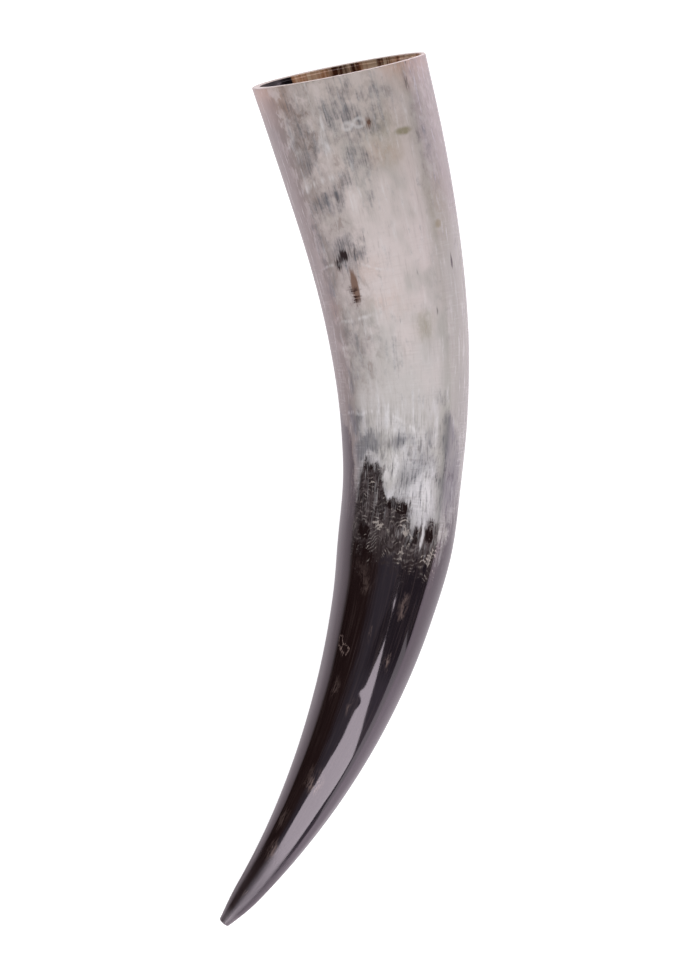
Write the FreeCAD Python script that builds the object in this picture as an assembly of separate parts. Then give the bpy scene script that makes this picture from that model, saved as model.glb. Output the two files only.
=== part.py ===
"""A polished cattle horn for drinking from: a curved, tapering horn with a solid tip, hollow from
its wide mouth to two thirds of its length, and the clear coat that seals the hollow.

Frame: millimetres, +Z up. The horn lies on its side, as it does on a table. Its mouth is towards
+Y, its tip towards -Y, and it bows out towards +X. The origin is on the table, under the middle
of the horn's box.

A section of the horn is square to its middle line and is placed by t, the share of the length
from the mouth, at 0, to the tip, at 1.
"""
import FreeCAD
import Part

import math
import os

# Driving dimensions, in millimetres and degrees
LENGTH = 407.8                  # of the middle line, from the mouth to the tip
WIDTHS = (79.5, 75.0, 69.2, 63.2, 57.0, 52.8, 46.5, 38.3, 28.9, 18.5, 8.2)  # at each tenth of it
DEPTH_AT_MOUTH = 0.93           # height of a section over its width
DEPTH_AT_TIP = 0.98
THREE_SIDED = 0.010             # how far the oval sections lean towards a rounded triangle
THREE_SIDED_TURN = 11.0
SWELL = 1.6                     # one slow growth wave in the width, about half way along
SWELL_AT = 0.5
SWELL_LENGTH = 0.24

MIDDLE_AT_MOUTH = (-2.53, 188.75)
MOUTH_HEADING = 15.9            # of the middle line in plan, from -Y towards +X
BEND = 66.3                     # turn of the middle line per length, once it has eased in
BEND_EASE = 0.32                # share of the length over which the bend eases in
LIFTS = (0.0, 0.3, 0.5, 0.3, 0.0, 0.0, 0.0, 0.4, 0.9, 0.7, 2.4)  # of the underside, at each tenth

MOUTH_SWING = 11.5              # of the direction the mouth faces, from +Y towards -X
MOUTH_RISE = 7.8                # of that direction above the table
RIM_ROUND = 0.5
TIP_FLAT = 3.4                  # across the small flat on the tip
TIP_DRAW = 0.38                 # share by which the last stretch is drawn in at the tip
TIP_DRAW_FROM = 0.955
WALL = 2.6                      # at the mouth
HOLLOW_SHIFT = 0.9              # of the hollow, towards the outside of the bend
HOLLOW_END = 0.68               # where the hollow would close to a point
HOLLOW_BOTTOM = 0.673           # where it ends, in a small flat
HOLLOW_FULLNESS = 5             # power that keeps the wall thin before the hollow closes in
HOLLOW_CLOSING = 0.7            # power that rounds its end
COAT = 0.3                      # thickness of the sealing coat on the wall
COAT_POOL = 1.5                 # its thickness at the bottom of the hollow
COAT_BELOW_RIM = 1.5

# How finely the surfaces are laid out
PLAN_STEPS = 400
SECTIONS = 36
SECTION_POINTS = 16
PAST_MOUTH = 0.06               # share of the length that is made past the mouth and cut off
SLOPE_STEP = 0.004
BLOCK = 300.0                   # side of the cutting block


def along(values, t):
    """A smooth value at t, from values given at even steps from 0 to 1."""
    last = len(values) - 1
    step = min(max(math.floor(t * last), 0), last - 1)
    f = t * last - step
    padded = (2 * values[0] - values[1], *values, 2 * values[-1] - values[-2])
    a, b, c, d = padded[step:step + 4]
    return b + 0.5 * f * (c - a + f * (2 * a - 5 * b + 4 * c - d + f * (3 * (b - c) + d - a)))


def heading(t):
    """Direction of the middle line in plan, in radians from -Y towards +X."""
    t = max(t, 0.0)
    bent = t * t / (2 * BEND_EASE) if t < BEND_EASE else t - BEND_EASE / 2
    return math.radians(MOUTH_HEADING - BEND * bent)


def walk_plan():
    """The middle line in plan, as points at even steps from the mouth to the tip."""
    step = LENGTH / PLAN_STEPS
    points = [MIDDLE_AT_MOUTH]
    for i in range(PLAN_STEPS):
        way = heading((i + 0.5) / PLAN_STEPS)
        x, y = points[-1]
        points.append((x + step * math.sin(way), y - step * math.cos(way)))
    return points


PLAN = walk_plan()


def in_plan(t):
    """A point of the middle line in plan. Past the mouth the line is straight."""
    if t < 0:
        way = heading(0)
        x, y = MIDDLE_AT_MOUTH
        return x + LENGTH * t * math.sin(way), y - LENGTH * t * math.cos(way)
    step = min(int(t * PLAN_STEPS), PLAN_STEPS - 1)
    f = t * PLAN_STEPS - step
    (x0, y0), (x1, y1) = PLAN[step:step + 2]
    return x0 + (x1 - x0) * f, y0 + (y1 - y0) * f


def half_width(t):
    """Half the horn's width at t, before its tip is drawn in."""
    wave = 2 * math.pi * (t - SWELL_AT) / SWELL_LENGTH
    swell = SWELL * math.sin(wave) * (1 + math.cos(wave)) / 2 if abs(wave) < math.pi else 0.0
    return (along(WIDTHS, t) + swell) / 2


def drawn_half_width(t):
    """Half the horn's width at t, with the last stretch drawn in towards the tip."""
    drawn = max(t - TIP_DRAW_FROM, 0.0) / (1 - TIP_DRAW_FROM)
    return half_width(t) * (1 - TIP_DRAW * drawn ** 2)


def hollow_half_width(t):
    """Half the hollow's width at t: the horn's less its wall, closing in to a round end."""
    closing = (max(t, 0.0) / HOLLOW_END) ** HOLLOW_FULLNESS
    return (half_width(t) - WALL) * (1 - closing) ** HOLLOW_CLOSING


def outline(t, half):
    """Points round a section, as distances to the outside of the bend and upwards."""
    depth = DEPTH_AT_MOUTH + (DEPTH_AT_TIP - DEPTH_AT_MOUTH) * max(t, 0.0)
    points = []
    for i in range(SECTION_POINTS):
        turn = 2 * math.pi * i / SECTION_POINTS
        reach = half * (1 + THREE_SIDED * math.cos(3 * (turn + math.radians(THREE_SIDED_TURN))))
        points.append((reach * math.cos(turn), reach * depth * math.sin(turn)))
    return points


def height(t):
    """Height of the middle line: the section's own depth below it, and the underside's lift."""
    return along(LIFTS, max(t, 0.0)) - min(up for _, up in outline(t, half_width(t)))


def section_frame(t):
    """A section's middle, and its directions to the outside of the bend, upwards and to the tip."""
    slope = (height(t) - height(t - SLOPE_STEP)) / (SLOPE_STEP * LENGTH)
    way = heading(t)
    outward = FreeCAD.Vector(math.cos(way), math.sin(way), 0)
    forward = FreeCAD.Vector(math.sin(way), -math.cos(way), slope).normalize()
    return FreeCAD.Vector(*in_plan(t), height(t)), outward, forward.cross(outward), forward


def section(t, half, shift=0.0):
    """A closed smooth section at t, moved by shift to the outside of the bend."""
    middle, outward, up, _ = section_frame(t)
    centre = middle + outward * shift
    points = [centre + outward * out + up * rise for out, rise in outline(t, half)]
    curve = Part.BSplineCurve()
    curve.interpolate(Points=points, PeriodicFlag=True)
    return Part.Wire([curve.toShape()])


def loft(first, last, half_at, shift=0.0):
    """A solid through even sections from first to last, each as wide as half_at says."""
    steps = [first + (last - first) * i / (SECTIONS - 1) for i in range(SECTIONS)]
    return Part.makeLoft([section(t, half_at(t), shift) for t in steps], True)


def end_edges(solid, point):
    """The edges of the flat face of a solid that is nearest to point."""
    flats = [face for face in solid.Faces if isinstance(face.Surface, Part.Plane)]
    return min(flats, key=lambda face: face.CenterOfMass.distanceToPoint(point)).Edges


def mouth_plane():
    """The middle of the mouth, and the direction that the mouth faces."""
    swing, rise = math.radians(MOUTH_SWING), math.radians(MOUTH_RISE)
    flat = math.cos(rise)
    facing = FreeCAD.Vector(-math.sin(swing) * flat, math.cos(swing) * flat, math.sin(rise))
    return section_frame(0)[0], facing


def past_mouth(below=0.0):
    """A block that holds all that is past the mouth's plane, or past a plane below it."""
    middle, facing = mouth_plane()
    block = Part.makeBox(BLOCK, BLOCK, BLOCK, FreeCAD.Vector(-BLOCK / 2, -BLOCK / 2, 0))
    turned = FreeCAD.Rotation(FreeCAD.Vector(0, 0, 1), facing)
    block.Placement = FreeCAD.Placement(middle - facing * below, turned)
    return block


def whole_horn():
    """The horn's outer shape, still too long at the mouth, with its tip rounded round a small flat."""
    horn = loft(-PAST_MOUTH, 1.0, drawn_half_width)
    edge_round = drawn_half_width(1) - TIP_FLAT / 2
    return horn.makeFillet(edge_round, end_edges(horn, section_frame(1)[0]))


def hollow(lining=0.0, pool=0.0):
    """The space in the horn, less a lining all round and a pool at its bottom."""
    bottom = HOLLOW_BOTTOM - pool / LENGTH
    return loft(-PAST_MOUTH, bottom, lambda t: hollow_half_width(t) - lining, HOLLOW_SHIFT)


def horn_sheath():
    """The horn itself: solid at the tip, a wall round the hollow, and a rim with rounded edges."""
    sheath = whole_horn().cut(hollow()).cut(past_mouth())
    return sheath.makeFillet(RIM_ROUND, end_edges(sheath, mouth_plane()[0]))


def inner_sealing_coat():
    """The clear film on the hollow's wall. It stops a little below the rim."""
    return hollow().cut(hollow(COAT, COAT_POOL)).cut(past_mouth(COAT_BELOW_RIM))


def main():
    os.makedirs("parts", exist_ok=True)
    for make_piece in (horn_sheath, inner_sealing_coat):
        piece = make_piece()
        piece.exportStep(f"parts/{make_piece.__name__}.step")
        box = piece.optimalBoundingBox(False)
        print(make_piece.__name__, "valid", piece.isValid(), "solids", len(piece.Solids))
        print("  volume", round(piece.Volume / 1000, 1), "cm3")
        print("  from", [round(v, 2) for v in (box.XMin, box.YMin, box.ZMin)])
        print("  to", [round(v, 2) for v in (box.XMax, box.YMax, box.ZMax)])


main()
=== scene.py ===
"""The looks of a polished cattle horn for drinking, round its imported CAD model.

Metres, in the CAD model's frame: +Z up, the mouth towards +Y, the tip towards -Y, and the horn
bows out towards +X. A place on the horn is a share of its length from the mouth, t, and a turn
round the section, from the outside of the bend (0) over the top (90 degrees).
"""

import math

import bpy
from mathutils import Color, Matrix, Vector, noise


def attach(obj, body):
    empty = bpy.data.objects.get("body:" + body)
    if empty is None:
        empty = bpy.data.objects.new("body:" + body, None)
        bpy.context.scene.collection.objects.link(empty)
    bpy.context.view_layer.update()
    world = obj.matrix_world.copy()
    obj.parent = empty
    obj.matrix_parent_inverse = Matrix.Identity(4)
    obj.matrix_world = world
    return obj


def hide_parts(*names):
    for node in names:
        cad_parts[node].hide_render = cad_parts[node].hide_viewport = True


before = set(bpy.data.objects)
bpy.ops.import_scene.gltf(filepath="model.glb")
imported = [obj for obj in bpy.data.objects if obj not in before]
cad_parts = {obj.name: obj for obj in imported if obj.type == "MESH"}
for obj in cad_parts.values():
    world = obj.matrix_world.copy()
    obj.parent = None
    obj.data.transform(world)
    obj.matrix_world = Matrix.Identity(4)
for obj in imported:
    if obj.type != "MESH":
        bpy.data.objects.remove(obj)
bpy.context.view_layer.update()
MM = 0.001

# ---------------------------------------------------------------- the horn's shape, as in the CAD
LENGTH = 407.8 * MM
WIDTHS = [w * MM for w in (79.5, 75.0, 69.2, 63.2, 57.0, 52.8, 46.5, 38.3, 28.9, 18.5, 8.2)]
DEPTH_AT_MOUTH = 0.93
DEPTH_AT_TIP = 0.98
THREE_SIDED = 0.010
THREE_SIDED_TURN = math.radians(11)
SWELL = 1.6 * MM
SWELL_AT = 0.5
SWELL_LENGTH = 0.24
MIDDLE_AT_MOUTH = (-2.53 * MM, 188.75 * MM)
MOUTH_HEADING = 15.9
BEND = 66.3
BEND_EASE = 0.32
LIFTS = [v * MM for v in (0.0, 0.3, 0.5, 0.3, 0.0, 0.0, 0.0, 0.4, 0.9, 0.7, 2.4)]
MOUTH_SWING = math.radians(11.5)
MOUTH_RISE = math.radians(7.8)
RIM_ROUND = 0.6 * MM            # a little more than the CAD's
TIP_FLAT = 3.4 * MM
TIP_DRAW = 0.38
TIP_DRAW_FROM = 0.955
WALL = 2.6 * MM
HOLLOW_SHIFT = 0.9 * MM
HOLLOW_END = 0.68
HOLLOW_BOTTOM = 0.673
HOLLOW_FULLNESS = 5
HOLLOW_CLOSING = 0.7
COAT = 0.3 * MM
COAT_POOL = 1.5 * MM
COAT_BELOW_RIM = 1.5 * MM

PLAN_STEPS = 400
SLOPE_STEP = 0.004


def along(values, t):
    """A smooth value at t, from values given at even steps from 0 to 1."""
    last = len(values) - 1
    step = min(max(math.floor(t * last), 0), last - 1)
    f = t * last - step
    padded = (2 * values[0] - values[1], *values, 2 * values[-1] - values[-2])
    a, b, c, d = padded[step:step + 4]
    return b + 0.5 * f * (c - a + f * (2 * a - 5 * b + 4 * c - d + f * (3 * (b - c) + d - a)))


def heading(t):
    """Direction of the middle line in plan, in radians from -Y towards +X."""
    t = max(t, 0.0)
    bent = t * t / (2 * BEND_EASE) if t < BEND_EASE else t - BEND_EASE / 2
    return math.radians(MOUTH_HEADING - BEND * bent)


def walk_plan():
    """The middle line in plan, as points at even steps from the mouth to the tip."""
    step = LENGTH / PLAN_STEPS
    points = [MIDDLE_AT_MOUTH]
    for i in range(PLAN_STEPS):
        way = heading((i + 0.5) / PLAN_STEPS)
        x, y = points[-1]
        points.append((x + step * math.sin(way), y - step * math.cos(way)))
    return points


PLAN = walk_plan()


def in_plan(t):
    """A point of the middle line in plan. Past the mouth the line is straight."""
    if t < 0:
        way = heading(0)
        x, y = MIDDLE_AT_MOUTH
        return x + LENGTH * t * math.sin(way), y - LENGTH * t * math.cos(way)
    step = min(int(t * PLAN_STEPS), PLAN_STEPS - 1)
    f = t * PLAN_STEPS - step
    (x0, y0), (x1, y1) = PLAN[step:step + 2]
    return x0 + (x1 - x0) * f, y0 + (y1 - y0) * f


def half_width(t):
    """Half the horn's width at t, before its tip is drawn in."""
    wave = 2 * math.pi * (t - SWELL_AT) / SWELL_LENGTH
    swell = SWELL * math.sin(wave) * (1 + math.cos(wave)) / 2 if abs(wave) < math.pi else 0.0
    return (along(WIDTHS, t) + swell) / 2


def hollow_half_width(t):
    """Half the hollow's width at t: the horn's less its wall, closing in to a round end."""
    closing = (max(t, 0.0) / HOLLOW_END) ** HOLLOW_FULLNESS
    return (half_width(t) - WALL) * (1 - closing) ** HOLLOW_CLOSING


def lobes(turn):
    """How much further out than an oval the section is, at a turn."""
    return 1 + THREE_SIDED * math.cos(3 * (turn + THREE_SIDED_TURN))


def depth(t):
    """Height of a section over its width."""
    return DEPTH_AT_MOUTH + (DEPTH_AT_TIP - DEPTH_AT_MOUTH) * max(t, 0.0)


UNDERSIDE = [math.radians(degrees) for degrees in range(180, 360)]
LOWEST_LOBE = min(lobes(turn) * math.sin(turn) for turn in UNDERSIDE)


def height(t):
    """Height of the middle line: the section's own depth below it, and the underside's lift."""
    return along(LIFTS, max(t, 0.0)) - half_width(t) * depth(t) * LOWEST_LOBE


def section_frame(t):
    """A section's middle, and its directions to the outside of the bend, upwards and to the tip."""
    slope = (height(t) - height(t - SLOPE_STEP)) / (SLOPE_STEP * LENGTH)
    way = heading(t)
    outward = Vector((math.cos(way), math.sin(way), 0))
    forward = Vector((math.sin(way), -math.cos(way), slope)).normalized()
    return Vector((*in_plan(t), height(t))), outward, forward.cross(outward), forward


def on_section(t, turn, half, shift=0.0):
    """A point on a section of the given half width."""
    middle, outward, up, _ = section_frame(t)
    reach = half * lobes(turn)
    rise = reach * depth(t) * math.sin(turn)
    return middle + outward * (shift + reach * math.cos(turn)) + up * rise


def mouth_plane():
    """The middle of the mouth, and the direction that the mouth faces."""
    flat = math.cos(MOUTH_RISE)
    x, y = -math.sin(MOUTH_SWING) * flat, math.cos(MOUTH_SWING) * flat
    return section_frame(0)[0], Vector((x, y, math.sin(MOUTH_RISE)))


# ---------------------------------------------------------------- meshes
COLUMNS = 168                   # points round a section
ROW = 1.55 * MM                 # between rows of points along the horn
FIRST_ROW = 0.3 * MM
ROW_GROWTH = 1.3
TIP_ROWS = 8
RIM_STEPS = 4
SLANT_FADES = 0.35              # the mouth's slant has gone from the rows by here
MOUTH_REACH = 0.09              # of the mouth's slant, in shares of the length
TIP_ROUND = (WIDTHS[-1] * (1 - TIP_DRAW) - TIP_FLAT) / 2
ROUND_CHART = 30 * MM           # radius of the straightened horn that materials are laid out on
BISECTIONS = 26
GAP = 0.03 * MM                 # between the coat's back and the horn
COAT_EDGE = 1.2 * MM            # length over which the coat thickens from its edge
COAT_EDGE_POWER = 0.5           # that rounds its edge

SCRAPE_DEPTH = 0.16 * MM        # long shallow facets left by scraping
SCRAPE_ACROSS = 9 * MM
SCRAPE_ALONG = 38 * MM
RIPPLE_DEPTH = 0.02 * MM        # finer ripples left by polishing
RIPPLE_ACROSS = 3.2 * MM
RIPPLE_ALONG = 13 * MM
INNER_BUMP = 0.35 * MM          # the inside is left rougher
INNER_ACROSS = 8 * MM
INNER_ALONG = 30 * MM
DENTS = (                       # and swells: t, turn in degrees, depth, half length, half width
    (0.700, 84, 0.10 * MM, 5 * MM, 4 * MM),
    (0.560, 78, 0.12 * MM, 11 * MM, 12 * MM),
    (0.770, 86, -0.10 * MM, 14 * MM, 5 * MM),
)


def chart(t, turn):
    """A place on the straightened horn: round a cylinder, and along it from the mouth."""
    return Vector((ROUND_CHART * math.cos(turn), ROUND_CHART * math.sin(turn), LENGTH * t))


def on_axis(t):
    """A place on the straightened horn's middle line."""
    return Vector((0, 0, LENGTH * t))


def waves(t, turn, across, length):
    """Smooth waves from 0 to 1 of the given sizes, with no seam round the horn."""
    x, y, z = chart(t, turn)
    return 0.5 + 0.5 * noise.noise(Vector((x / across, y / across, z / length)))


def outside(t, turn):
    """Half width of the finished outer surface: the horn's, less what scraping and polishing took."""
    taken = SCRAPE_DEPTH * waves(t, turn, SCRAPE_ACROSS, SCRAPE_ALONG)
    taken += RIPPLE_DEPTH * waves(t, turn, RIPPLE_ACROSS, RIPPLE_ALONG)
    for at, at_turn, deep, half_long, half_wide in DENTS:
        aside = half_width(min(t, 1.0)) * math.remainder(turn - math.radians(at_turn), 2 * math.pi)
        away = math.hypot((t - at) * LENGTH / half_long, aside / half_wide)
        taken += deep * (1 - min(away, 1.0) ** 2) ** 2
    drawn = max(min(t, 1.0) - TIP_DRAW_FROM, 0.0) / (1 - TIP_DRAW_FROM)
    taken += half_width(min(t, 1.0)) * TIP_DRAW * drawn ** 2
    rounded_from = 1 - TIP_ROUND / LENGTH
    if t > rounded_from:
        past = min((t - rounded_from) * LENGTH, TIP_ROUND)
        taken += TIP_ROUND - math.sqrt(TIP_ROUND ** 2 - past ** 2)
    return half_width(min(t, 1.0)) - taken


def inside(t, turn):
    """Half width of the hollow's bare wall."""
    return hollow_half_width(t) - INNER_BUMP * waves(t, turn, INNER_ACROSS, INNER_ALONG)


def lining(t, turn):
    """Half width of the space inside the coat."""
    share = min(max((t * LENGTH - COAT_BELOW_RIM) / COAT_EDGE, 0.0), 1.0)
    return inside(t, turn) - GAP - COAT * share ** COAT_EDGE_POWER


def behind_coat(t, turn):
    """Half width of the coat's back."""
    return inside(t, turn) - GAP / 2


def mouth_at(turn, half_at, shift):
    """The t at which a wall crosses the mouth's plane."""
    point, facing = mouth_plane()
    low, high = -MOUTH_REACH, MOUTH_REACH
    for _ in range(BISECTIONS):
        t = (low + high) / 2
        if (on_section(t, turn, half_at(t, turn), shift) - point).dot(facing) > 0:
            low = t
        else:
            high = t
    return (low + high) / 2


def rows_to(end, first):
    """Distances of rows from the rim along a wall, close together at the rim."""
    rows, step = [first], FIRST_ROW
    while rows[-1] + step < end:
        rows.append(rows[-1] + step)
        step = min(step * ROW_GROWTH, ROW)
    return rows


def wall(turn, half_at, shift, rows, end):
    """Points down a wall from the mouth, each with its t. The rows start on the mouth's slant and
    become square to the horn."""
    start = mouth_at(turn, half_at, shift)
    places = []
    for row in rows:
        share = row / LENGTH
        slant = start * max(1 - share / SLANT_FADES, 0) ** 2
        t = min(share + slant, end)
        places.append((on_section(t, turn, half_at(t, turn), shift), t))
    return places


def rounded(a, corner, b, steps):
    """Points of a rounded corner from a to b, without its ends."""
    shares = [(i + 1) / (steps + 1) for i in range(steps)]
    return [a * (1 - s) ** 2 + corner * (2 * s * (1 - s)) + b * s ** 2 for s in shares]


def mesh_object(name, profiles, ends):
    """A closed mesh from profiles that run along the horn, one at each turn. A profile holds rows of
    a point, its place on the chart, and how far it is inside, from 0 to 1. ends holds two more such
    rows, which close the first and the last row."""
    rows, columns = len(profiles[0]), len(profiles)
    vertices = [profile[row] for row in range(rows) for profile in profiles] + ends
    first_end, last_end = len(vertices) - 2, len(vertices) - 1
    pairs = [(a, (a + 1) % columns) for a in range(columns)]
    last = (rows - 1) * columns
    faces = []
    for here in range(0, last, columns):
        there = here + columns
        faces += [(here + a, here + b, there + b, there + a) for a, b in pairs]
    faces += [(first_end, b, a) for a, b in pairs]
    faces += [(last_end, last + a, last + b) for a, b in pairs]
    mesh = bpy.data.meshes.new(name)
    mesh.from_pydata([point for point, _, _ in vertices], [], faces)
    places = mesh.attributes.new("chart", "FLOAT_VECTOR", "POINT")
    places.data.foreach_set("vector", [v for _, place, _ in vertices for v in place])
    inner = mesh.attributes.new("inner", "FLOAT", "POINT")
    inner.data.foreach_set("value", [share for _, _, share in vertices])
    mesh.shade_smooth()
    made = bpy.data.objects.new(name, mesh)
    bpy.context.scene.collection.objects.link(made)
    return made


def make_horn():
    """The horn: its outer surface, the cut rim with rounded edges, and the wall of the hollow."""
    outer_rows = rows_to(LENGTH - TIP_ROUND - ROW / 2, RIM_ROUND)
    quarter = [math.pi / 2 * i / TIP_ROWS for i in range(TIP_ROWS + 1)]
    tip_rows = [LENGTH - TIP_ROUND * (1 - math.sin(angle)) for angle in quarter]
    inner_rows = rows_to(HOLLOW_BOTTOM * LENGTH, RIM_ROUND)
    profiles = []
    for column in range(COLUMNS):
        turn = 2 * math.pi * column / COLUMNS
        corner, t_rim = wall(turn, outside, 0, [0], 1)[0]
        inner_corner, _ = wall(turn, inside, HOLLOW_SHIFT, [0], 1)[0]
        across = (inner_corner - corner).normalized() * RIM_ROUND
        outer = wall(turn, outside, 0, outer_rows + tip_rows, 1)
        inner = wall(turn, inside, HOLLOW_SHIFT, inner_rows, HOLLOW_BOTTOM)
        profile = [(p, chart(t, turn), 1.0) for p, t in reversed(inner)]
        edge = rounded(inner[0][0], inner_corner, inner_corner - across, RIM_STEPS)
        edge += [inner_corner - across, (inner_corner + corner) / 2, corner + across]
        edge += rounded(corner + across, corner, outer[0][0], RIM_STEPS)
        shares = [1 - (i + 1) / (len(edge) + 1) for i in range(len(edge))]
        profile += [(p, chart(t_rim, turn), share) for p, share in zip(edge, shares)]
        profile += [(p, chart(t, turn), 0.0) for p, t in outer]
        profiles.append(profile)
    middle, outward, _, _ = section_frame(HOLLOW_BOTTOM)
    bottom = (middle + outward * HOLLOW_SHIFT, on_axis(HOLLOW_BOTTOM), 1.0)
    tip = (section_frame(1)[0], on_axis(1), 0.0)
    return mesh_object("horn", profiles, [bottom, tip])


def make_coat():
    """The clear coat in the hollow: a thin closed shell with a tapered edge below the rim."""
    rows = rows_to(HOLLOW_BOTTOM * LENGTH - COAT_POOL, COAT_BELOW_RIM)
    front_end = HOLLOW_BOTTOM - COAT_POOL / LENGTH
    profiles = []
    for column in range(COLUMNS):
        turn = 2 * math.pi * column / COLUMNS
        front = wall(turn, lining, HOLLOW_SHIFT, rows, front_end)
        back = wall(turn, behind_coat, HOLLOW_SHIFT, rows, HOLLOW_BOTTOM)
        profile = [(p, chart(t, turn), 1.0) for p, t in reversed(front)]
        profile += [(p, chart(t, turn), 1.0) for p, t in back]
        profiles.append(profile)
    middle, outward, _, forward = section_frame(HOLLOW_BOTTOM)
    centre = middle + outward * HOLLOW_SHIFT
    place = on_axis(HOLLOW_BOTTOM)
    ends = [(centre - forward * COAT_POOL, place, 1.0), (centre, place, 1.0)]
    return mesh_object("sealing_coat", profiles, ends)


# ---------------------------------------------------------------- working out materials
NOISE_MIDDLE = 0.5
MIX_A, MIX_B, MIX_RESULT = 6, 7, 2      # the colour sockets of a Mix node
X, Z = 0, 2                             # outputs of a Separate XYZ node


class Field:
    """A number, vector or colour over a surface: an output of a shader node. Arithmetic on fields
    adds the nodes that work it out."""

    def __init__(self, socket):
        self.socket = socket

    def __add__(self, other):
        return node("Math", {0: self, 1: other}, operation="ADD")

    def __sub__(self, other):
        return node("Math", {0: self, 1: other}, operation="SUBTRACT")

    def __rsub__(self, other):
        return node("Math", {0: other, 1: self}, operation="SUBTRACT")

    def __mul__(self, other):
        return node("Math", {0: self, 1: other}, operation="MULTIPLY")

    __radd__ = __add__

    def swing(self, amount):
        """A noise's swing about its middle, times an amount."""
        return (self - NOISE_MIDDLE) * amount


def node(kind, inputs, output=0, **settings):
    """Add a shader node to the material that its inputs come from, and give one of its outputs."""
    tree = next(value.socket.id_data for value in inputs.values() if isinstance(value, Field))
    made = tree.nodes.new("ShaderNode" + kind)
    for name, value in settings.items():
        setattr(made, name, value)
    for name, value in inputs.items():
        if isinstance(value, Field):
            tree.links.new(value.socket, made.inputs[name])
        else:
            made.inputs[name].default_value = value
    return Field(made.outputs[output])


def attribute(tree, name, output):
    """An attribute of the mesh, as one of the outputs of its node."""
    made = tree.nodes.new("ShaderNodeAttribute")
    made.attribute_name = name
    return Field(made.outputs[output])


def smooth(value, start, end):
    """0 at start, 1 at end, and smooth between them."""
    inputs = {"Value": value, "From Min": start, "From Max": end}
    return node("MapRange", inputs, interpolation_type="SMOOTHSTEP")


def size_of(value):
    """A value without its sign."""
    return node("Math", {0: value}, operation="ABSOLUTE")


def component(vector, axis):
    """One coordinate of a vector."""
    return node("SeparateXYZ", {0: vector}, axis)


def stretch(place, across, length):
    """A place, measured in steps of the given sizes."""
    steps = (1 / across, 1 / across, 1 / length)
    return node("VectorMath", {0: place, 1: steps}, operation="MULTIPLY")


def grain(place, across, length, detail=2.0, rough=0.5):
    """Noise from 0 to 1, about a half, with features of the given sizes in millimetres."""
    where = stretch(place, across, length)
    return node("TexNoise", {"Vector": where, "Scale": 1.0, "Detail": detail, "Roughness": rough})


def push(place, amount, across, length, by, detail=2.0):
    """Places pushed about by noise, by up to half an amount round the horn and half of by along it."""
    inputs = {"Vector": stretch(place, across, length), "Scale": 1.0, "Detail": detail}
    noise_vector = node("TexNoise", inputs, "Color")
    middle = (NOISE_MIDDLE, NOISE_MIDDLE, NOISE_MIDDLE)
    centred = node("VectorMath", {0: noise_vector, 1: middle}, operation="SUBTRACT")
    return node("VectorMath", {0: centred, 1: (amount, amount, by), 2: place}, operation="MULTIPLY_ADD")


def on_chart(t, across):
    """A place in millimetres on the straightened horn, from how far along and across it lies as
    seen from above."""
    radius = ROUND_CHART / MM
    return radius * across, radius * math.sin(math.acos(across)), t * LENGTH / MM


def spot(place, t, across, half_long, half_wide, core=0.0):
    """1 in the core of an oval spot and 0 past its edge. Its sizes are in millimetres."""
    scale = (1 / half_wide, 1 / half_wide, 1 / half_long)
    offset = [-c * s for c, s in zip(on_chart(t, across), scale)]
    scaled = node("VectorMath", {0: place, 1: scale, 2: offset}, operation="MULTIPLY_ADD")
    return smooth(node("VectorMath", {0: scaled}, "Value", operation="LENGTH"), 1.0, core)


def overlaid(fields):
    """The sum of fields."""
    whole = None
    for field in fields:
        whole = field if whole is None else whole + field
    return whole


def spots(place, rows):
    """Overlaid spots, each with its strength first."""
    return overlaid(spot(place, *where) * strength for strength, *where in rows)


def ring(place, t, across, radius, line):
    """A thin ring, in millimetres."""
    offset = [-c for c in on_chart(t, across)]
    moved = node("VectorMath", {0: place, 1: offset}, operation="ADD")
    away = node("VectorMath", {0: moved}, "Value", operation="LENGTH")
    return smooth(size_of(away - radius), line, 0.0)


def blend(share, a, b):
    """Colour a, turning to colour b as share goes from 0 to 1."""
    return node("Mix", {0: share, MIX_A: a, MIX_B: b}, MIX_RESULT, data_type="RGBA")


def shade(r, g, b):
    """A colour for a shader, from its screen values of 0 to 255."""
    return (*Color([v / 255 for v in (r, g, b)]).from_srgb_to_scene_linear(), 1.0)


# ---------------------------------------------------------------- the horn's materials
MOUTH_TONE = shade(202, 190, 186)
PINK_WHITE = shade(212, 200, 199)
NEUTRAL = shade(196, 190, 189)
COOL_WHITE = shade(203, 199, 203)
PALE_GRAY = shade(180, 174, 170)
# Darker tones at the sides: partly the horn's own, partly painted shade where its sides turn from the
# light
LEFT_FLANK_TONE_AND_SHADE = shade(121, 110, 103)
RIGHT_FLANK_TONE_AND_SHADE = shade(163, 161, 154)
WARM_GRAY = shade(146, 134, 132)
SMOKE = shade(138, 122, 116)
OLIVE = shade(150, 142, 122)
WHITE = shade(224, 220, 222)
BLUE_GRAY = shade(98, 97, 103)
DARK_SPOT = shade(50, 40, 41)
DARK_BROWN = shade(60, 42, 38)
BROWN = shade(122, 96, 84)
RIM_EDGE = shade(228, 214, 206)
# A tan: the horn's own on its stains, and painted glow of light through the thin horn by the rim
TAN_STAIN_AND_PAINTED_GLOW = shade(196, 160, 140)
BLACK_BROWN = shade(28, 17, 17)
BLACK_GRAY = shade(40, 35, 41)
BLACK = shade(26, 21, 26)
WORN_TIP = shade(84, 78, 82)
BAND_DARK = shade(46, 38, 39)
BAND_GRAY = shade(81, 72, 73)
BAND_LINE = shade(148, 140, 138)
WISP = shade(122, 104, 100)
FLAKE = shade(162, 152, 147)
INNER_CREAM = shade(244, 214, 184)
INNER_TAN = shade(212, 158, 124)
INNER_BROWN = shade(86, 48, 32)
INNER_BLACK = shade(26, 20, 20)

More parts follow.
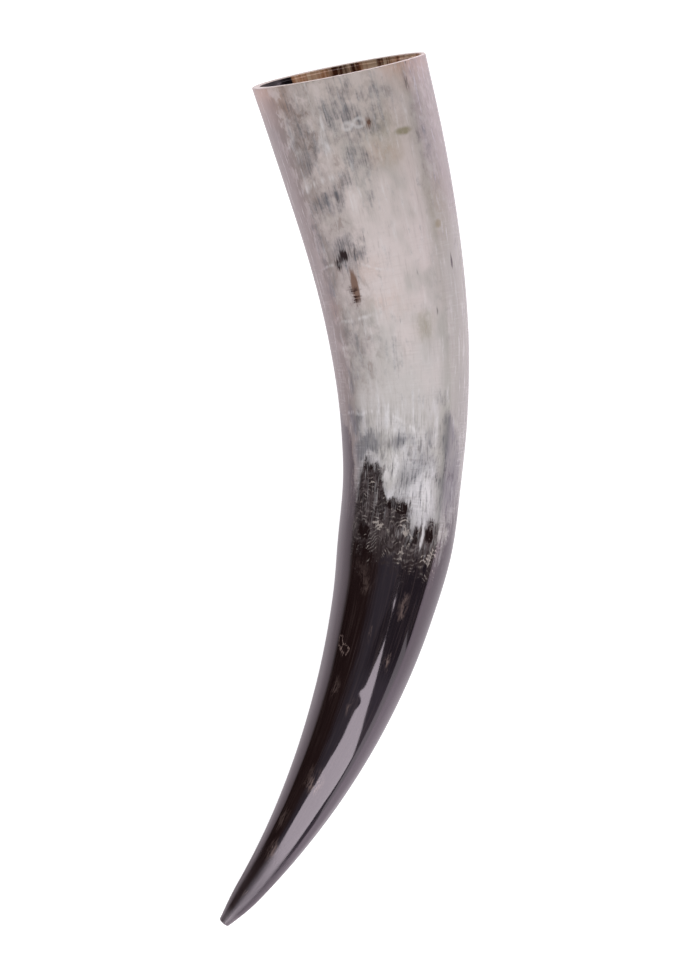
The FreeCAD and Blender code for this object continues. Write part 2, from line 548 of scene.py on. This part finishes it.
BLACK_ROUGHNESS = 0.045
PALE_ROUGHNESS = 0.10           # and this much more where the horn is pale
INNER_ROUGHNESS = 0.14
GRAIN_ROUGHNESS = 0.04          # and this much more by its fine grain
RIM_ROUGHNESS = 0.10            # and this much more on the cut rim
BUMP_STRENGTH = 0.15
BUMP_HEIGHT = 0.02 * MM
HORN_IOR = 1.54
REFLECTION_TINT = (1.0, 0.87, 0.97, 1.0)

# Where along the horn a tone sets in, and where it is full
PINK_FROM = (0.06, 0.20)
NEUTRAL_FROM = (0.22, 0.34)
COOL_FROM = (0.36, 0.46)
GRAY_FIBRES_FROM = (0.355, 0.435)
DARK_FROM = (0.35, 0.58)        # in streaks
DARK_ALL_FROM = (0.505, 0.585)
PALE_FIBRES_BEFORE = (0.54, 0.46)
BAND_BEFORE = (0.554, 0.530)
DULL_FROM = (0.85, 0.95)
WORN_TIP_FROM = (0.976, 0.992)
# And where across it
LEFT_SIDE = (-0.60, -0.86)
RIGHT_SIDE = (0.48, 0.84)
RIGHT_EDGE = (0.70, 0.95)
BAND_LEFT = (-0.82, -0.70)
BAND_RIGHT = (0.86, 0.76)

CHEVRON_AT = -0.34              # across: where the band's wavy lines come to a point
CHEVRON_WIDE = 0.32             # across, on each side of it
CHEVRON_RISE = 7.0              # in millimetres
LINE_STEP = 1.9                 # between the band's lines, in millimetres
# Rings: t, across, radius and width of the line in millimetres
SWIRL = ((0.655, -0.53, 3.2, 0.6), (0.648, -0.64, 2.2, 0.5))
DOT_RINGS = ((0.0640, -0.09, 1.4, 1.3), (0.0635, 0.05, 1.9, 1.3))
BROWN_STREAK = (0.250, -0.497, 7.0, 4.2, 0.3)   # as a spot without a strength

# Each spot: its strength, t, across, half length and half width in millimetres, and for some the
# share of it that is its core
GRAY_SMUDGES = (
    (1.0, 0.046, -0.12, 15, 11), (0.6, 0.020, 0.02, 9, 6), (0.6, 0.042, 0.36, 12, 11),
    (0.7, 0.067, 0.20, 9, 9), (0.8, 0.042, -0.66, 22, 9), (0.7, 0.092, -0.66, 16, 8),
    (0.7, 0.098, -0.12, 16, 10), (0.5, 0.075, -0.50, 12, 5), (0.7, 0.123, -0.30, 8, 10),
    (0.9, 0.140, -0.58, 10, 14), (0.7, 0.148, -0.04, 7, 5), (0.7, 0.172, -0.78, 18, 6),
    (1.1, 0.200, -0.54, 13, 9), (0.6, 0.196, -0.32, 8, 7), (0.6, 0.300, -0.62, 20, 10),
    (0.8, 0.337, -0.76, 14, 3.5), (0.35, 0.308, -0.10, 12, 12), (1.3, 0.410, -0.48, 9, 8),
    (1.0, 0.413, -0.16, 8, 8), (0.9, 0.388, -0.78, 14, 7), (0.6, 0.412, 0.06, 6, 9),
    (0.7, 0.405, 0.43, 7, 5), (1.4, 0.408, 0.70, 15, 7), (1.0, 0.445, 0.78, 22, 9),
    (0.7, 0.432, 0.36, 14, 10), (0.8, 0.485, 0.74, 22, 10), (0.8, 0.455, 0.08, 16, 10),
    (0.5, 0.450, 0.58, 12, 8), (1.1, 0.392, -0.72, 8, 6), (1.1, 0.428, -0.70, 10, 7),
    (1.2, 0.458, 0.90, 32, 9), (0.6, 0.240, -0.80, 30, 8), (0.5, 0.100, 0.80, 40, 8),
    (0.5, 0.366, 0.56, 5, 5), (1.2, 0.418, -0.60, 8, 9),
)
SHARP_SPOTS = (
    (1.1, 0.200, -0.53, 5.0, 3.8), (1.0, 0.208, -0.63, 6, 3.2), (0.5, 0.197, -0.40, 5, 3),
    (1.0, 0.2286, 0.845, 5.5, 1.4), (0.7, 0.0340, 0.70, 6.0, 1.8), (0.55, 0.277, 0.57, 4.0, 1.6),
    (0.6, 0.232, 0.37, 4.0, 1.0), (0.7, 0.013, 0.76, 5.0, 1.0), (1.2, 0.0655, 0.16, 2.0, 1.4),
)
BROWN_SPOTS = (
    (0.6, 0.0660, 0.15, 4.5, 3.4, 0.2), (1.0, 0.236, -0.480, 13.0, 2.6, 0.3),
    (0.7, 0.187, 0.74, 3.2, 2.0), (0.4, 0.185, -0.72, 4.0, 1.0),
)
OLIVE_PATCHES = (
    (0.6, 0.290, 0.39, 10, 8), (0.5, 0.170, 0.78, 26, 11), (0.5, 0.085, 0.30, 22, 11),
)
OLIVE_SPOTS = (
    (1.0, 0.084, 0.54, 2.4, 5.0, 0.3), (1.0, 0.187, 0.74, 2.8, 2.4, 0.3),
)
TAN_STAINS = (
    (0.9, 0.035, -0.68, 12, 6), (0.8, 0.255, -0.80, 12, 6), (0.5, 0.215, -0.30, 9, 10),
    (0.7, 0.188, 0.74, 3, 2.4), (0.5, 0.100, 0.20, 10, 12), (0.5, 0.260, -0.10, 8, 14),
)
WHITE_STROKES = (
    (0.8, 0.070, -0.40, 20, 4), (0.35, 0.055, -0.74, 12, 3), (0.3, 0.085, -0.72, 12, 3),
    (0.5, 0.150, -0.20, 14, 4), (0.6, 0.395, -0.22, 14, 5), (0.8, 0.440, -0.20, 16, 6),
    (0.7, 0.470, 0.42, 20, 7), (0.6, 0.500, 0.90, 20, 5),
)
# Where the dark part comes earlier or, with a strength below 0, later
INK = (
    (0.66, 0.476, -0.52, 22, 10, 0.5), (0.90, 0.470, -0.97, 45, 14, 0.6),
    (0.34, 0.496, -0.04, 8, 13, 0.3), (0.55, 0.517, 0.56, 6, 3.2, 0.4),
    (-0.35, 0.485, 0.33, 14, 9, 0.4), (-0.60, 0.515, 0.435, 10, 1.7, 0.3),
    (-0.35, 0.475, 0.62, 14, 7, 0.4), (-0.30, 0.520, 0.71, 6, 2.5, 0.3),
    (-0.30, 0.490, 0.80, 20, 9, 0.3), (-0.25, 0.450, 0.12, 15, 11, 0.3),
    (-0.45, 0.465, -0.22, 10, 4, 0.4),
)
# In the broken band where the dark part begins
BLACK_PATCHES = (
    (1.0, 0.442, -0.55, 5, 7, 0.5), (1.1, 0.491, -0.04, 3.6, 9.0, 0.5),
    (0.9, 0.523, 0.29, 5.5, 3.8, 0.5), (1.1, 0.517, 0.56, 4.8, 3.2, 0.5),
    (0.9, 0.520, -0.57, 5.5, 5.5, 0.4), (0.7, 0.545, -0.50, 7, 7, 0.4),
    (0.5, 0.550, 0.35, 5, 8, 0.4),
)
TAN_FLAKES = (
    (1.0, 0.508, -0.32, 3.2, 4.2, 0.4), (0.9, 0.5055, 0.12, 2.8, 4.2, 0.4),
    (0.9, 0.538, 0.13, 3.4, 3.8, 0.4), (0.8, 0.537, 0.64, 3.0, 7.0, 0.4),
    (0.6, 0.541, -0.66, 3.5, 2.6, 0.4), (0.5, 0.517, 0.20, 3.4, 6.5, 0.4),
    (0.25, 0.475, -0.52, 8, 3.2, 0.4), (0.3, 0.490, -0.62, 6, 2.4, 0.4),
)
# In the black part, beyond the band
WISPS = (
    (0.35, 0.574, -0.41, 6, 6), (0.8, 0.592, 0.40, 9, 4), (1.0, 0.627, -0.13, 5, 2.4),
    (0.2, 0.560, -0.50, 8, 8), (1.0, 0.806, -0.10, 7, 12), (0.9, 0.898, -0.22, 7, 11),
    (1.4, 0.956, -0.18, 4, 5), (0.9, 0.655, 0.40, 5, 4), (0.5, 0.700, -0.50, 8, 5),
    (0.5, 0.860, -0.50, 9, 8), (0.6, 0.712, -0.05, 7, 3), (0.7, 0.460, -0.83, 18, 2.0),
)
# Pale lines across the horn: t and across at each end, and half their width in shares of the length
GROWTH_LINES = (
    (0.118, -0.86, 0.109, -0.25, 0.0040), (0.277, -0.80, 0.272, -0.28, 0.0022),
    (0.384, -0.88, 0.378, -0.36, 0.0026), (0.379, -0.25, 0.407, 0.30, 0.0026),
    (0.212, -0.86, 0.206, -0.55, 0.0018), (0.211, -0.35, 0.223, 0.05, 0.0018),
)

# In the functions below, t runs along the horn, and across runs over it as seen from above, from
# -1 at its left edge to 1 at its right. The two ends given to smooth() are where along, where
# across, or at which level of a noise a tone sets in and is full, and a factor after it is the
# tone's strength. The sizes given to grain() and push() are in millimetres.


class Outside:
    """Where places on the outside are, and the noises that their looks are worked out from."""

    def __init__(self, place):
        self.place = place
        self.t = component(place, Z) * (MM / LENGTH)
        self.across = component(place, X) * (MM / ROUND_CHART)
        # Noises drawn out along the horn
        self.fine = grain(place, 0.7, 12, 3, 0.6)
        self.streak = grain(push(place, 1.5, 6, 16, 0), 1.9, 15, 5, 0.7)
        self.rough = self.streak.swing(1.0) + self.fine.swing(0.7)
        # Clouds, wide and small, and short lines across the horn
        self.cloud = grain(place, 14, 26, 3)
        self.blotch = grain(place, 4.5, 7, 5, 0.7)
        self.patchy = self.streak * 0.32 + self.blotch * 0.68
        self.weave = grain(place, 8, 0.8, 2)
        # Places pushed about far, which gives a mark ragged ends, or only a little
        self.drawn = push(push(place, 8, 8, 13, 14, 4), 1.6, 1.0, 9, 7, 4)
        self.nudged = push(place, 1.2, 3, 3, 1.2)
        # Small noises with the same ragged ends
        self.mottle = grain(self.drawn, 3.4, 3.8, 4, 0.6)
        self.curls = grain(self.drawn, 2.0, 5.0, 4, 0.65)


def pale_ground(on):
    """The pale part's own tones along the horn, darker tones towards its sides that are partly its own
    and partly painted shade, and by the rim a tan that is painted glow of light through the thin horn.
    """
    t, across = on.t, on.across
    pale = blend(smooth(t, *PINK_FROM), MOUTH_TONE, PINK_WHITE)
    pale = blend(smooth(t + on.cloud.swing(0.3), *NEUTRAL_FROM), pale, NEUTRAL)
    pale = blend(smooth(t + on.streak.swing(0.3), *COOL_FROM), pale, COOL_WHITE)
    pale = blend(smooth(on.cloud, 0.45, 0.70) * 0.8, pale, PALE_GRAY)
    # Towards the sides: partly the horn's own tone, partly painted shade
    pale = blend(smooth(across, *LEFT_SIDE), pale, LEFT_FLANK_TONE_AND_SHADE)
    pale = blend(smooth(across, *RIGHT_SIDE), pale, RIGHT_FLANK_TONE_AND_SHADE)
    pale = blend(smooth(across, *RIGHT_EDGE) * smooth(t, 0.30, 0.38) * 0.22, pale, BLUE_GRAY)
    # By the rim, painted glow of light through the thin horn
    painted_glow_by_rim = smooth(t + on.cloud.swing(0.05), 0.050, -0.005) * smooth(size_of(across + 0.1), 0.40, 0.80)
    return blend(painted_glow_by_rim, pale, TAN_STAIN_AND_PAINTED_GLOW)


def add_clouds(on, pale):
    """Gray clouds at the sides, smoky mottling at the left and by the mouth, and faint stains."""
    t, across = on.t, on.across
    left = smooth(across, 0.0, -0.60) * smooth(t, 0.42, 0.30)
    pale = blend(smooth(left + on.patchy.swing(2.2), 0.25, 1.1) * 0.45, pale, WARM_GRAY)
    right = smooth(across, 0.35, 0.95) * smooth(t, 0.24, 0.14)
    pale = blend(smooth(right + on.patchy.swing(2.2), 0.35, 1.1) * 0.7, pale, WARM_GRAY)
    smoky = grain(on.drawn, 5.5, 8.0, 4, 0.58)
    mottled = smooth(across, -0.15, -0.45) * smooth(t, 0.40, 0.30) + smooth(t, 0.14, 0.06) * 0.5
    mottled = mottled * smooth(across, -0.94, -0.76)
    pale = blend(smooth(smoky, 0.48, 0.68) * mottled * 0.5, pale, PINK_WHITE)
    pale = blend(smooth(smoky, 0.48, 0.34) * mottled * 0.5, pale, SMOKE)
    pale = blend(spots(on.drawn, OLIVE_PATCHES) * smooth(on.patchy, 0.30, 0.55), pale, OLIVE)
    return blend(spots(on.drawn, TAN_STAINS) * smooth(on.patchy, 0.35, 0.60) * 0.6, pale, TAN_STAIN_AND_PAINTED_GLOW)


def add_fibres(on, pale):
    """White and gray fibres along the horn, more of them near the dark part, and a weave across."""
    t = on.t
    pale = blend(smooth(on.rough, 0.02, 0.35) * 0.40, pale, WHITE)
    pale = blend(smooth(on.rough, -0.02, -0.35) * 0.35, pale, WARM_GRAY)
    streaky = smooth(t, *GRAY_FIBRES_FROM) * smooth(on.rough + on.blotch.swing(0.8), 0.03, -0.30)
    pale = blend(streaky * 0.75, pale, BLUE_GRAY)
    woven = smooth(on.cloud, 0.58, 0.42) * smooth(t, 0.12, 0.22) * (0.09 + smooth(t, 0.38, 0.42) * 0.22)
    pale = blend(smooth(on.weave, 0.52, 0.72) * woven, pale, WHITE)
    return blend(smooth(on.weave, 0.48, 0.28) * woven, pale, WARM_GRAY)


def growth_lines(on):
    """Thin wavy lines that run a little aslant across the horn."""
    lines = []
    for t0, across0, t1, across1, half in GROWTH_LINES:
        slope = (t1 - t0) / (across1 - across0)
        off = on.t - on.across * slope + on.cloud.swing(0.02) - (t0 - slope * across0)
        starts = smooth(on.across, across0 - 0.05, across0 + 0.1)
        ends = smooth(on.across, across1 + 0.05, across1 - 0.15)
        lines.append(smooth(size_of(off), half * 1.6, 0.0) * (starts * ends))
    return overlaid(lines)


def add_marks(on, pale):
    """The marks on the pale part, each in its own place."""
    smudge = spots(on.drawn, GRAY_SMUDGES) * 0.48 + on.patchy.swing(1.5) + on.fine.swing(0.4)
    pale = blend(smooth(smudge, 0.02, 0.62) * (on.rough * 1.6 + 0.74), pale, BLUE_GRAY)
    strokes = spots(on.drawn, WHITE_STROKES) * 0.5 + on.streak.swing(1.5)
    pale = blend(smooth(strokes, 0.05, 0.6) * 0.75, pale, WHITE)
    sharp = spots(push(on.place, 1.8, 0.8, 6, 5, 4), SHARP_SPOTS) + on.fine.swing(1.6)
    pale = blend(smooth(sharp, 0.20, 0.95), pale, DARK_SPOT)
    brown = spots(push(on.place, 1.2, 0.9, 8, 3, 3), BROWN_SPOTS) + on.fine.swing(1.6)
    pale = blend(smooth(brown, 0.20, 0.95) * 0.95, pale, BROWN)
    scratched = smooth(on.weave + on.fine.swing(0.6), 0.60, 0.48)
    pale = blend(spot(on.drawn, *BROWN_STREAK) * scratched, pale, DARK_BROWN)
    pale = blend(spots(on.nudged, OLIVE_SPOTS) * smooth(on.patchy, 0.25, 0.50), pale, OLIVE)
    rings = overlaid(ring(on.nudged, *where) for where in DOT_RINGS)
    pale = blend(rings * smooth(on.blotch, 0.34, 0.56) * 0.45, pale, WHITE)
    return blend(growth_lines(on) * smooth(on.streak, 0.38, 0.60) * 0.5, pale, WHITE)


def darkness(on):
    """How much of the dark part shows, with whitish fibres over its beginning."""
    ink = smooth(on.t, *DARK_FROM) + smooth(on.t - on.across * 0.04, *DARK_ALL_FROM) * 1.2
    ink = ink + spots(on.drawn, INK) + on.blotch.swing(1.3) + on.rough * 1.2
    fibres = smooth(on.rough, 0.02, 0.30) * smooth(on.t, *PALE_FIBRES_BEFORE)
    return smooth(ink, 0.30, 0.90) * (1 - fibres * 0.45)


def black_part(on):
    """Brown-black at the left, gray-black beside it, black at the right near the band, and over
    these faint wisps and a swirl."""
    ragged = on.across + on.streak.swing(0.3)
    black = blend(smooth(ragged, -0.36, -0.10), BLACK_BROWN, BLACK_GRAY)
    at_right = smooth(ragged + on.t * 2.0, 1.18, 1.34) * smooth(on.t, 0.69, 0.64)
    black = blend(at_right, black, BLACK)
    black = blend(smooth(grain(on.place, 1.0, 30, 3, 0.6), 0.45, 0.75) * 0.08, black, WISP)
    black = blend(spots(on.drawn, WISPS) * smooth(on.curls, 0.44, 0.60) * 0.75, black, WISP)
    swirl = overlaid(ring(on.drawn, *where) for where in SWIRL)
    return blend(swirl * smooth(on.curls, 0.40, 0.50) * 0.9, black, WISP)


def broken_band(on):
    """Gray and black patches with flakes, and fine pale lines that follow the horn's growth."""
    point = smooth(size_of(on.across - CHEVRON_AT), 0.0, CHEVRON_WIDE) * smooth(on.t, 0.505, 0.525)
    growth = component(push(on.place, 0, 8, 11, 12, 4), Z) - point * CHEVRON_RISE
    wave = node("Math", {0: growth * (2 * math.pi / LINE_STEP)}, operation="SINE")
    lines = smooth(wave, 0.0, 0.95)
    band = blend(smooth(on.mottle + on.fine.swing(0.3), 0.44, 0.64), BAND_DARK, BAND_GRAY)
    plainer = smooth(on.t, 0.480, 0.500) * 0.26 + 0.16
    band = blend(lines * smooth(on.blotch, 0.42, 0.66) * plainer, band, BAND_LINE)
    patches = spots(on.drawn, BLACK_PATCHES) + on.mottle.swing(1.6) + on.rough * 0.6
    band = blend(smooth(patches, 0.25, 0.75) * 0.95, band, BLACK_BROWN)
    flakes = spots(on.drawn, TAN_FLAKES) * 0.6 + on.curls.swing(2.2) + lines.swing(0.4)
    return blend(smooth(flakes, 0.25, 0.70) * 0.9, band, FLAKE)


def horn_outside(place):
    """The outside's colour, and its roughness."""
    on = Outside(place)
    pale = add_marks(on, add_fibres(on, add_clouds(on, pale_ground(on))))
    on_top = smooth(on.across, *BAND_LEFT) * smooth(on.across, *BAND_RIGHT)
    in_band = smooth(on.t - on.across * 0.01 + on.mottle.swing(0.12), *BAND_BEFORE) * on_top
    black = blend(in_band, black_part(on), broken_band(on))
    black = blend(smooth(on.t, *WORN_TIP_FROM) * 0.8, black, WORN_TIP)
    dark = darkness(on)
    roughness = (1 - dark) * PALE_ROUGHNESS + BLACK_ROUGHNESS + on.fine * GRAIN_ROUGHNESS
    dulled = smooth(on.t, *DULL_FROM) * (0.16 + on.blotch * 0.36)
    return blend(dark, pale, black), roughness + dulled


def horn_inside(place):
    """The colour of the hollow's wall: cream and tan with brown streaks, browner deeper in, and black
    over its left side that spreads further round deeper in.
    """
    across = component(push(place, 5, 5, 30, 0), X) * (MM / ROUND_CHART)
    t = component(place, Z) * (MM / LENGTH)
    fibre = grain(place, 1.8, 26, 4, 0.6)
    blotch = grain(place, 6, 24, 3)
    cream = blend(smooth(fibre * 0.5 + blotch * 0.5, 0.42, 0.58), INNER_CREAM, INNER_TAN)
    wide_streak = smooth(size_of(across - 0.07), 0.26, 0.06) * 1.2
    narrow_streak = smooth(size_of(across - 0.52), 0.15, 0.05) * 0.8
    streaks = wide_streak + narrow_streak
    brown = smooth(streaks + fibre.swing(2.6) + blotch.swing(1.6) + t * 1.5, 0.25, 1.25)
    warm = blend(brown, cream, INNER_BROWN)
    # Black over the left of the wall, spreading further round deeper in
    return blend(smooth(across + fibre.swing(0.1) - t * 1.5, -0.52, -0.58), warm, INNER_BLACK)


def horn_material(name, has_outside=True):
    """Polished horn. A piece with no outside shows only the hollow's wall."""
    material = bpy.data.materials.new(name)
    material.use_nodes = True
    tree = material.node_tree
    shader = tree.nodes["Principled BSDF"]
    chart_place = attribute(tree, "chart", "Vector")
    place = node("VectorMath", {0: chart_place, "Scale": 1 / MM}, operation="SCALE")
    inner = attribute(tree, "inner", "Fac")

    fine = grain(place, 0.7, 14, 3)
    colour, rough = horn_inside(place), fine * GRAIN_ROUGHNESS + INNER_ROUGHNESS
    if has_outside:
        outside_colour, outside_rough = horn_outside(place)
        near_rim = blend(smooth(inner, 0.03, 0.20), outside_colour, RIM_EDGE)
        colour = blend(smooth(inner, 0.80, 0.99), near_rim, colour)
        rough = outside_rough + inner * RIM_ROUGHNESS
    bump = node("Bump", {"Height": fine, "Strength": BUMP_STRENGTH, "Distance": BUMP_HEIGHT})
    for socket, value in (("Base Color", colour), ("Roughness", rough), ("Normal", bump)):
        tree.links.new(value.socket, shader.inputs[socket])
    shader.inputs["IOR"].default_value = HORN_IOR
    shader.inputs["Specular Tint"].default_value = REFLECTION_TINT
    return material


def plain(name, colour, roughness):
    """A material of one colour."""
    material = bpy.data.materials.new(name)
    material.use_nodes = True
    shader = material.node_tree.nodes["Principled BSDF"]
    shader.inputs["Base Color"].default_value = (*colour, 1)
    shader.inputs["Roughness"].default_value = roughness
    return material


# ---------------------------------------------------------------- floor, lights and camera
WHITE_LIGHT = (1, 1, 1, 1)
NO_LIGHT = (0, 0, 0, 1)

CAMERA_OVER = (2.8 * MM, 0.25 * MM)
CAMERA_ABOVE = 2.5
CAMERA_REACH = 20
VIEW_AT = 37 * MM               # height at which the picture's size is set
VIEW_HEIGHT = 440 * MM          # that the picture takes in, at that height

FLOOR_FINE = 0.36               # half the side of the part of the floor that is laid out finely
FLOOR_STEP = 0.008              # between its points
FLOOR_COARSE = (0.6, 1.0, 2.0, 5.0, 15.0)   # distances of the floor's other points
FLOOR_COLOUR = (0.35, 0.35, 0.35)
FLOOR_ROUGHNESS = 0.9
HORN_SKIP = 5                   # steps of the middle line from one distance tested to the next
FLOOR_SEEN = (0.95, 0.95, 0.95, 1)      # the light table's own light, as the camera sees it
# The table's light as the horn gets it: from where the horn shades it, from near by, and from afar
FLOOR_SHADE = (0.40, 0.35, 0.39, 1)
FLOOR_GLOW = (1.20, 1.05, 1.16, 1)
FLOOR_GLOW_FAR = (1.72, 1.51, 1.67, 1)
SHADE_ENDS = (-0.2, 1.8)        # distances from the horn, in its half widths, over which it clears
GLOW_GROWS = (0.08, 0.28)       # distances from the middle over which the glow grows
GLOW_ENDS = (-0.42, 0.05)       # to the left, where the light table ends

BACKDROP = 1.0                  # what the camera sees past the floor
ROOM = 0.012                    # what the dark studio gives to everything else

# Corners of the lights, seen from the horn: top left, top right, bottom right, bottom left
SOFTBOX = ((-0.48, -0.70, 1.10), (0.52, -0.70, 1.22), (0.59, -0.70, 0.26), (-0.45, -0.70, 0.24))
SOFTBOX_LIGHT = 6.6
SIDE_CARD = ((0.60, -0.90, 0.20), (1.50, -0.90, 0.44), (1.50, -0.90, 0.0), (0.60, -0.90, 0.0))
SIDE_CARD_LIGHT = 1.7
FILL = ((0.90, 1.50, 0.95), (-0.90, 1.50, 0.95), (-0.90, 1.50, 0.15), (0.90, 1.50, 0.15))
FILL_LIGHT = 3.6


def glow(name, strength):
    """A material that only gives white light."""
    material = bpy.data.materials.new(name)
    material.use_nodes = True
    tree = material.node_tree
    tree.nodes.clear()
    light = tree.nodes.new("ShaderNodeEmission")
    light.inputs["Color"].default_value = WHITE_LIGHT
    light.inputs["Strength"].default_value = strength
    output = tree.nodes.new("ShaderNodeOutputMaterial")
    tree.links.new(light.outputs[0], output.inputs["Surface"])
    return material


def make_panel(name, corners, strength):
    """A flat panel of light, which the camera doesn't see."""
    mesh = bpy.data.meshes.new(name)
    mesh.from_pydata(corners, [], [(0, 1, 2, 3)])
    mesh.materials.append(glow(name + "_light", strength))
    panel = bpy.data.objects.new(name, mesh)
    panel.visible_camera = False
    bpy.context.scene.collection.objects.link(panel)


def clear_of_horn(x, y):
    """How far a place on the floor is from the horn in plan, in the horn's half widths there."""
    steps = range(0, PLAN_STEPS + 1, HORN_SKIP)
    horn = ((*PLAN[step], half_width(step / PLAN_STEPS)) for step in steps)
    return min(math.hypot(x - at_x, y - at_y) / half for at_x, at_y, half in horn) - 1


def make_floor():
    """A light table, which gives less light where the horn shades it."""
    steps = round(FLOOR_FINE / FLOOR_STEP)
    fine_lines = [i * FLOOR_STEP for i in range(-steps, steps + 1)]
    lines = [-v for v in reversed(FLOOR_COARSE)] + fine_lines + list(FLOOR_COARSE)
    count = len(lines)
    corners = [row * count + column for row in range(count - 1) for column in range(count - 1)]
    vertices = [(x, y, 0) for y in lines for x in lines]
    faces = [(corner, corner + 1, corner + count + 1, corner + count) for corner in corners]
    mesh = bpy.data.meshes.new("floor")
    mesh.from_pydata(vertices, [], faces)
    clear = mesh.attributes.new("clear", "FLOAT", "POINT")
    clear.data.foreach_set("value", [clear_of_horn(x, y) for x, y, _ in vertices])
    material = plain("pale_floor", FLOOR_COLOUR, FLOOR_ROUGHNESS)
    tree = material.node_tree
    shader = tree.nodes["Principled BSDF"]
    where = Field(tree.nodes.new("ShaderNodeNewGeometry").outputs["Position"])
    far = node("VectorMath", {0: where}, "Value", operation="LENGTH")
    grown = node("MapRange", {"Value": far, "From Min": GLOW_GROWS[0], "From Max": GLOW_GROWS[1]})
    given = blend(grown, FLOOR_GLOW, FLOOR_GLOW_FAR)
    given = blend(smooth(attribute(tree, "clear", "Fac"), *SHADE_ENDS), FLOOR_SHADE, given)
    given = blend(smooth(component(where, X), *GLOW_ENDS), NO_LIGHT, given)
    seen = Field(tree.nodes.new("ShaderNodeLightPath").outputs["Is Camera Ray"])
    light = blend(seen, given, FLOOR_SEEN)
    tree.links.new(light.socket, shader.inputs["Emission Color"])
    shader.inputs["Emission Strength"].default_value = 1.0
    mesh.materials.append(material)
    floor = bpy.data.objects.new("floor", mesh)
    bpy.context.scene.collection.objects.link(floor)


def make_room():
    """A dark studio that the camera sees as a pale backdrop."""
    world = bpy.data.worlds.new("studio")
    world.use_nodes = True
    bpy.context.scene.world = world
    tree = world.node_tree
    back = tree.nodes["Background"]
    back.inputs["Color"].default_value = WHITE_LIGHT
    seen = tree.nodes.new("ShaderNodeLightPath")
    strength = tree.nodes.new("ShaderNodeMapRange")
    strength.inputs["To Min"].default_value = ROOM
    strength.inputs["To Max"].default_value = BACKDROP
    tree.links.new(seen.outputs["Is Camera Ray"], strength.inputs["Value"])
    tree.links.new(strength.outputs["Result"], back.inputs["Strength"])


def make_camera():
    """A camera straight above, which takes in the whole horn."""
    data = bpy.data.cameras.new("camera")
    data.lens = data.sensor_width * CAMERA_ABOVE / VIEW_HEIGHT
    data.clip_end = CAMERA_REACH
    camera = bpy.data.objects.new("camera", data)
    camera.location = (*CAMERA_OVER, VIEW_AT + CAMERA_ABOVE)
    bpy.context.scene.collection.objects.link(camera)
    bpy.context.scene.camera = camera


def main():
    horn, coat = make_horn(), make_coat()
    horn.data.materials.append(horn_material("polished_horn"))
    coat.data.materials.append(horn_material("coated_horn", has_outside=False))
    pieces = ((horn, "horn_sheath", "polished_horn"), (coat, "inner_sealing_coat", "clear_coat"))
    for piece, cad_node, slot in pieces:
        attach(piece, "root")
        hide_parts(cad_node)
    make_floor()
    make_panel("softbox", SOFTBOX, SOFTBOX_LIGHT)
    make_panel("side_card", SIDE_CARD, SIDE_CARD_LIGHT)
    make_panel("fill", FILL, FILL_LIGHT)
    make_room()
    make_camera()
    bpy.context.scene.view_settings.view_transform = "Standard"


main()
